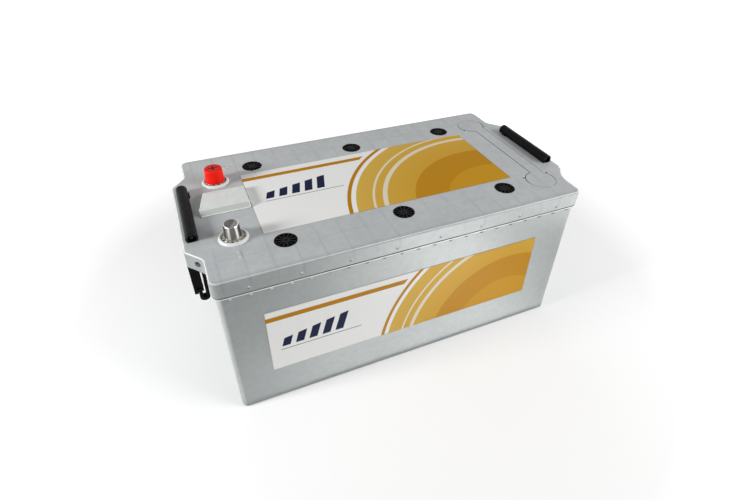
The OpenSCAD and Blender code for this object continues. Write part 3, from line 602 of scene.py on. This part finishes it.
def leadFinish():
    finish = Finish("lead", Anisotropic=0.7, Anisotropic_Rotation=0.25)
    streak = finish.noise(0.0011, 3.0, 0.6, (1, 1, 0.10))
    bloom = finish.noise(0.006, 4.0, 0.6).above(0.55, 0.3)
    lump = finish.noise(0.0022, 3.0, 0.6).above(0.52, 0.2)
    nx, ny, nz = finish.facing
    upper = finish.z.above(lidTop + lead["footHigh"], 0.001)
    left, right = lead["bands"]
    highlightBand = abs(nx - left).below(0.12, 0.14) + abs(nx - right).below(0.13, 0.14)
    # painted shade on the flanks and painted highlight in two upright bands, by facing
    side = finish.mix(lead["grey"], lead["flank"], abs(nx).above(0.70, 0.25))
    side = finish.mix(side, lead["leadHighlight"], highlightBand * (0.65 + 0.5 * streak))
    dx = finish.x - (postLow.x + postHigh.x) / 2
    dy = finish.y - (postLow.y + postHigh.y) / 2
    cut = dx * lead["cutSlant"][0] + dy * lead["cutSlant"][1]
    top = finish.mix(*lead["top"], bloom)
    top = finish.mix(top, lead["cut"], cut.above(lead["cutFrom"], 0.0005) * 0.8)
    # painted highlight on the rounded edge of the top, strongest above the bands
    rim = nz.between(0.3, 0.95, 0.06) * (0.05 + highlightBand * ny.below(0.2, 0.2))
    body = finish.mix(side, top, nz.above(0.9, 0.08))
    body = finish.mix(body, lead["leadHighlight"], rim)
    finish.set(Base_Color=finish.mix(finish.mix(*lead["foot"], lump), body, upper))
    finish.set(Metallic=0.35 + 0.65 * upper)
    finish.set(Roughness=0.42 - 0.14 * upper * (1 - bloom))
    finish.relief(streak * 0.00002 * upper + lump * 0.0002 * (1 - upper), 0.6, 0.0003)
    dress(finish, "positive_terminal", "negative_terminal", "positive_riser", "negative_riser",
          "intercell_welds")


capFinish()
makeCollars()
leadFinish()
print("cap, collars and posts done")

# Pieces inside the box: dark and light tint, grain size and height, bump strength, roughness
cells = ["cell_%d_" % i for i in range(1, 7)]
inside = {
    "positivePaste": {
        "tints": (colour(0.12, 0.065, 0.04), colour(0.18, 0.10, 0.065)),
        "grain": (0.0015, 3.0, 0.0002), "strength": 0.6, "roughness": 0.85,
        "nodes": [c + "positive" for c in cells],
    },
    "negativePaste": {
        "tints": (colour(0.20, 0.205, 0.21), colour(0.28, 0.285, 0.29)),
        "grain": (0.0015, 3.0, 0.0002), "strength": 0.6, "roughness": 0.85,
        "nodes": [c + "negative" for c in cells],
    },
    "glassMat": {
        "tints": (colour(0.72, 0.71, 0.66), colour(0.80, 0.79, 0.75)),
        "grain": (0.0015, 3.0, 0.0002), "strength": 0.6, "roughness": 0.85,
        "nodes": [c + "separators" for c in cells],
    },
    "sealRubber": {
        "tints": (colour(0.02, 0.02, 0.02), colour(0.035, 0.035, 0.033)),
        "grain": (0.003, 2.0, 0.00003), "strength": 0.5, "roughness": 0.7,
        "nodes": ["plug_o_rings"] + ["valve_%d" % i for i in range(1, 7)],
    },
    "porousDisc": {
        "tints": (colour(0.45, 0.43, 0.36), colour(0.70, 0.67, 0.58)),
        "grain": (0.0008, 2.0, 0.0003), "strength": 0.8, "roughness": 0.9,
        "nodes": ["flame_arrestor"],
    },
}


def insideFinishes():
    for name, stuff in inside.items():
        size, detail, height = stuff["grain"]
        finish = Finish(name, Roughness=stuff["roughness"])
        grain = finish.noise(size, detail)
        finish.set(Base_Color=finish.mix(*stuff["tints"], grain))
        finish.relief(grain * height, stuff["strength"])
        dress(finish, *stuff["nodes"])


insideFinishes()
print("inner pieces done")

# Printed labels: a gold disc in rings on white, with a stripe and a row of slanted bars
inks = {
    "white": colour(0.77, 0.77, 0.755),
    "gold": colour(0.53, 0.275, 0.016),
    "amber": colour(0.43, 0.190, 0.006),
    "pale": colour(0.59, 0.375, 0.070),
    "cream": colour(0.68, 0.62, 0.48),
    "navy": colour(0.010, 0.014, 0.045),
    "labelEdgeShade": colour(0.22, 0.20, 0.15),
    "speck": colour(0.30, 0.28, 0.25),
    "sharp": 0.0004,  # softness of a printed edge
    "cutWide": 0.0006,
    "barCount": 5,
    "barPitch": 0.017,
    "barWide": 0.0105,
    "barSlant": 0.28,
    "barGap": 0.004,  # the row ends this much before its last pitch does
    "rule": (0.0060, 0.0048),  # line under the bars
    "ruleLong": 0.105,
}
prints = {
    "top_label": {
        "disc": (0.148, -0.110),
        "radius": 0.205,
        "stripe": (0.052, 0.060),
        "bars": (-0.152, 0.000),
        "barHigh": 0.032,
        "upright": False,
    },
    "front_label": {
        "disc": (0.150, -0.085),
        "radius": 0.185,
        "stripe": (0.034, 0.041),
        "bars": (-0.170, -0.012),
        "barHigh": 0.030,
        "upright": True,
    },
}


# The disc and its rings, by the distance from its middle
def discArt(finish, ring, big):
    sharp = inks["sharp"]
    gold = finish.mix(inks["gold"], inks["pale"], (ring / big) ** 2.2)
    bands = ring.between(big * 0.80, big * 0.83, sharp) + ring.between(big * 0.88, big * 0.895, sharp)
    gold = finish.mix(gold, inks["cream"], bands)
    gold = finish.mix(gold, inks["amber"], ring.below(big * 0.62, sharp) * 0.75)
    gold = finish.mix(gold, inks["gold"], ring.below(big * 0.40, sharp) * 0.8)
    sheet = finish.mix(inks["white"], gold, ring.below(big, sharp))
    return finish.mix(sheet, inks["amber"], ring.between(big * 1.03, big * 1.055, sharp))


# A label's print, with u along it and v up it from its middle, in metres
def labelArt(finish, u, v, art):
    big = art["radius"]
    ring = distance(u - art["disc"][0], v - art["disc"][1])
    sheet = discArt(finish, ring, big)
    stripe = v.between(*art["stripe"]) * ring.above(big * 1.085)
    sheet = finish.mix(sheet, inks["amber"], stripe)
    start, foot = art["bars"]
    rowLong = inks["barPitch"] * inks["barCount"]
    half = inks["barWide"] / 2
    along = u - v * inks["barSlant"] - start
    span = along.between(0, rowLong - inks["barGap"])
    teeth = along.nearest(inks["barPitch"], half).below(half)
    rise = foot + art["barHigh"] * (0.45 + along / rowLong * 0.55)
    bars = span * teeth * v.above(foot) * (v - rise).below(0)
    sheet = finish.mix(sheet, inks["navy"], bars)
    low, high = inks["rule"]
    rule = v.between(foot - low, foot - high) * along.between(0, inks["ruleLong"])
    return finish.mix(sheet, inks["navy"], rule * 0.8)


def labelFinish(node):
    art = prints[node]
    low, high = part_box(node)
    middle = (low + high) / 2
    reach = (high - low) / 2
    finish = Finish(node + "Film", IOR=1.08)
    u = finish.x - middle.x
    v = finish.z - middle.z if art["upright"] else finish.y - middle.y
    tall = reach.z if art["upright"] else reach.y
    inset = inks["cutWide"]
    # painted shade along the label's edges
    cut = abs(u).above(reach.x - inset, 0.0004) | abs(v).above(tall - inset, 0.0004)
    inked = finish.mix(labelArt(finish, u, v, art), inks["labelEdgeShade"], cut * 0.6)
    speck = finish.noise(0.0009, 2.0)
    finish.set(Base_Color=finish.mix(inked, inks["speck"], speck.above(0.74, 0.08) * 0.12))
    finish.set(Roughness=0.30 + 0.12 * finish.noise(0.02, 3.0))
    finish.relief(finish.noise(0.018, 2.0) * 0.00006 + speck * 0.000008, 0.5)
    dress(finish, node)


for label in prints:
    labelFinish(label)
print("labels done")

# Polarity signs: a dark plus in the cap's top, and raised ones on the lid
signs = {
    "capPlus": {"long": 0.0115, "wide": 0.0019, "thick": 0.0005, "proud": 0.00004, "round": 0,
                "arms": "xy", "tints": (colour(0.010, 0.003, 0.003), colour(0.028, 0.005, 0.004))},
    "lidPlus": {"long": 0.0110, "wide": 0.0026, "thick": 0.0009, "proud": 0.0005, "round": 0.00025,
                "arms": "xy", "place": (-0.186, 0.101)},
    "lidMinus": {"long": 0.0120, "wide": 0.0028, "thick": 0.0009, "proud": 0.0005, "round": 0.00025,
                 "arms": "y", "place": (-0.203, -0.098)},
}


def newVerts(result):
    return [v for v in result["geom"] if isinstance(v, bmesh.types.BMVert)]


def makeSign(name, x, y, top):
    sign = signs[name]
    half = sign["wide"] / 2
    arm = sign["long"] / 2 - half
    mesh = bmesh.new()
    bmesh.ops.create_grid(mesh, x_segments=1, y_segments=1, size=half)
    for edge in list(mesh.edges):
        outward = (edge.verts[0].co + edge.verts[1].co).normalized()
        if ("x" if abs(outward.x) > 0.5 else "y") in sign["arms"]:
            grown = newVerts(bmesh.ops.extrude_edge_only(mesh, edges=[edge]))
            bmesh.ops.translate(mesh, verts=grown, vec=outward * arm)
    crest = newVerts(bmesh.ops.extrude_face_region(mesh, geom=list(mesh.faces)))
    bmesh.ops.translate(mesh, verts=crest, vec=(0, 0, sign["thick"]))
    bmesh.ops.recalc_face_normals(mesh, faces=mesh.faces)
    if sign["round"]:
        brim = [e for e in mesh.edges if e.calc_face_angle(0) > 1 and all(v in crest for v in e.verts)]
        bmesh.ops.bevel(mesh, geom=brim, offset=sign["round"], segments=2, profile=0.5,
                        affect="EDGES", material=-1)
    low = top + sign["proud"] - sign["thick"]
    bmesh.ops.translate(mesh, verts=mesh.verts, vec=(x, y, low))
    return finishMesh(mesh, name, False)


def makeSigns():
    middle = (capLow + capHigh) / 2
    piece = makeSign("capPlus", middle.x, middle.y, capHigh.z)
    finish = Finish("plusShade", Roughness=0.6, Specular_IOR_Level=0.1)
    finish.set(Base_Color=finish.mix(*signs["capPlus"]["tints"], finish.noise(0.002, 2.0)))
    piece.data.materials.append(finish.material)
    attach(piece, "positive_cap")
    finish, body = mouldedFinish("signPlastic", mould["top"], 0.0002)
    # painted highlight on the sign's sides and rounded edges
    highlightAndWear = finish.facing[2].below(0.95, 0.1) * 0.5
    finish.set(Base_Color=finish.mix(body, mould["highlightAndWear"], highlightAndWear))
    plasticShine(finish)
    for name in ("lidPlus", "lidMinus"):
        piece = makeSign(name, *signs[name]["place"], lidTop)
        piece.data.materials.append(finish.material)
        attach(piece, "case")


makeSigns()
print("signs done")

# Rolled lip and pin head in each end of the grips
gripEnd = {
    "grip": 0.007,  # radius of the grip
    "lip": 0.0058,  # radius of the lip
    "lipWire": 0.0004,
    "lipSteps": 40,
    "pin": 0.0021,
    "pinLong": 0.0018,
    "pinRoot": 0.0005,  # part of the pin that is in the leg
    "pinSteps": 24,
    "inset": 0.0040,  # from the grip's end to the leg that carries the pin
    "tints": (colour(0.020, 0.020, 0.021), colour(0.060, 0.060, 0.062)),
}


# The grip's box also holds a small lug inside, so its axis is found from the outside and the top
def gripAxis(side):
    low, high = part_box(side + "_grip")
    radius = gripEnd["grip"]
    return Vector((low.x + radius if side == "left" else high.x - radius, 0, high.z - radius))


# Lip and pin head along Z, with the grip's end at zero
def makeGripEnd():
    lip, wire = gripEnd["lip"], gripEnd["lipWire"]
    pin, deep, pinLong = gripEnd["pin"], -gripEnd["inset"], gripEnd["pinLong"]
    mesh = bmesh.new()
    spunShape(mesh, [
        (lip - wire, -wire),
        (lip + wire, -wire),
        (lip + wire, 0),
        (lip, wire / 2),
        (lip - wire, 0),
    ], gripEnd["lipSteps"], True)
    spunShape(mesh, [
        (pin, deep - gripEnd["pinRoot"]),
        (pin, deep + pinLong * 0.6),
        (pin * 0.6, deep + pinLong),
        (0, deep + pinLong),
    ], gripEnd["pinSteps"], False)
    closeSeams(mesh)
    return mesh


def makeGripEnds():
    finish = blackFinish("pinPlastic", 0.0002, 0.30)
    finish.set(Base_Color=finish.mix(*gripEnd["tints"], finish.noise(0.002, 3.0)))
    for side in ("left", "right"):
        low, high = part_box(side + "_grip")
        body = side + "_handle"
        axis = gripAxis(side)
        for row, sign, end in (("Front", -1, low.y), ("Rear", 1, high.y)):
            mesh = makeGripEnd()
            turn = Matrix.Rotation(radians(-90 * sign), 3, "X")
            bmesh.ops.rotate(mesh, verts=mesh.verts, cent=(0, 0, 0), matrix=turn)
            bmesh.ops.translate(mesh, verts=mesh.verts, vec=(axis.x, end, axis.z))
            piece = finishMesh(mesh, side + row + "GripEnd")
            piece.data.materials.append(finish.material)
            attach(piece, body)


makeGripEnds()
print("grip ends done")

# Pale floor that shows white to the camera and keeps the shadow, and soft light all round
stage = {
    "wide": 12.0,
    "floor": colour(0.66, 0.66, 0.66),
    "lift": 0.22,  # glow near the object, seen by the camera and in reflections
    "fade": (0.45, 1.10),  # from here to there the glow grows to white
    "allRound": 0.28,
    "white": 1.0,  # where the world is seen
    "aim": (0, 0, 0.15),  # where the lamps point
}


def makeFloor():
    mesh = bmesh.new()
    bmesh.ops.create_grid(mesh, x_segments=1, y_segments=1, size=stage["wide"] / 2)
    floor = finishMesh(mesh, "floor", False)
    finish = Finish("floorPaint", Base_Color=stage["floor"], Roughness=0.9, Specular_IOR_Level=0.0)
    near, far = stage["fade"]
    away = distance(finish.x, finish.y).above((near + far) / 2, far - near)
    grey = colour(stage["lift"], stage["lift"], stage["lift"])
    glow = finish.mix(grey, colour(1, 1, 1), away)
    glow = finish.mix(colour(0, 0, 0), glow, finish.seen())
    finish.set(Emission_Color=glow, Emission_Strength=1.0)
    floor.data.materials.append(finish.material)


def makeWorld():
    world = bpy.data.worlds.new("studio")
    bpy.context.scene.world = world
    world.use_nodes = True
    board = Board(world.node_tree)
    sky = board.tree.nodes["Background"].inputs
    level = board.add("ShaderNodeMix", {}, {0: board.seen(), 2: stage["allRound"], 3: stage["white"]})
    board.feed(sky["Color"], colour(1, 1, 1))
    board.feed(sky["Strength"], level)


# The low lamps at the back and right stay out of the gloss
lamps = {
    "left": {"place": (-1.30, -0.10, 0.62), "size": (0.30, 0.30), "power": 17, "gloss": True},
    "frontStrip": {"place": (1.45, -1.05, 1.10), "size": (1.4, 0.12), "power": 29, "gloss": True},
    "front": {"place": (0.80, -0.95, 0.40), "size": (0.5, 0.3), "power": 1.7, "gloss": True},
    "rear": {"place": (0.2, 1.6, 0.20), "size": (1.2, 0.2), "power": 20, "gloss": False},
    "right": {"place": (1.7, 0.1, 0.20), "size": (0.8, 0.2), "power": 7, "gloss": False},
}


def areaLight(name, place, size, power):
    data = bpy.data.lights.new(name, "AREA")
    data.energy = power
    data.shape = "RECTANGLE"
    data.size, data.size_y = size
    light = addObject(name, data)
    light.location = place
    light.visible_camera = False
    return light


def makeLamps():
    for name, lamp in lamps.items():
        light = areaLight(name, lamp["place"], lamp["size"], lamp["power"])
        turn = (Vector(stage["aim"]) - light.location).to_track_quat("-Z", "Y")
        light.rotation_euler = turn.to_euler()
        light.visible_glossy = lamp["gloss"]


# Cards lying in front, seen only in the gloss of the long side, brightest right of the middle
sheen = {
    "level": 22,  # how bright a full share is
    "spread": 130,  # degrees, so that low views don't catch it
    "cards": {
        "sheenNear": {"place": (0.04, -0.169, 0.004), "size": (0.60, 0.068), "gain": 1, "shares": [
            (0.00, 0.06), (0.08, 0.08), (0.23, 0.16), (0.45, 0.21),
            (0.68, 0.26), (0.80, 0.15), (0.88, 0.08), (1.00, 0.05)]},
        "sheenFar": {"place": (0.17, -0.2840, 0.004), "size": (0.86, 0.162), "gain": 1, "shares": [
            (0.00, 0.00), (0.10, 0.00), (0.20, 0.06), (0.30, 0.19), (0.36, 0.31),
            (0.43, 0.52), (0.52, 0.51), (0.58, 0.26), (0.63, 0.08), (0.75, 0.07),
            (0.82, 0.40), (0.88, 0.75), (1.00, 0.75)]},
        "sheenSkirt": {"place": (0.17, -0.4250, 0.004), "size": (0.86, 0.120), "gain": 3, "shares": [
            (0.00, 0.00), (0.20, 0.00), (0.32, 0.08), (0.40, 0.25), (0.48, 0.33),
            (0.56, 0.34), (0.66, 0.40), (0.78, 0.52), (0.86, 0.60), (1.00, 0.60)]},
    },
}


def makeSheen():
    for name, card in sheen["cards"].items():
        wide, deep = card["size"]
        power = sheen["level"] * card["gain"] * pi * wide * deep
        light = areaLight(name, card["place"], card["size"], power)
        light.rotation_euler = (radians(180), 0, 0)
        light.visible_diffuse = False
        light.data.spread = radians(sheen["spread"])
        light.data.use_nodes = True
        board = Board(light.data.node_tree)
        along = board.axes(board.add("ShaderNodeNewGeometry", {}, {}, "Parametric"))[0]
        stops = [(where, colour(share, share, share)) for where, share in card["shares"]]
        strength = board.add("ShaderNodeValToRGB", {"stops": stops}, {0: along})
        board.feed(board.tree.nodes["Emission"].inputs["Strength"], strength)


makeFloor()
makeWorld()
makeLamps()
makeSheen()
bpy.context.scene.view_settings.view_transform = "Standard"
print("stage and lamps done")
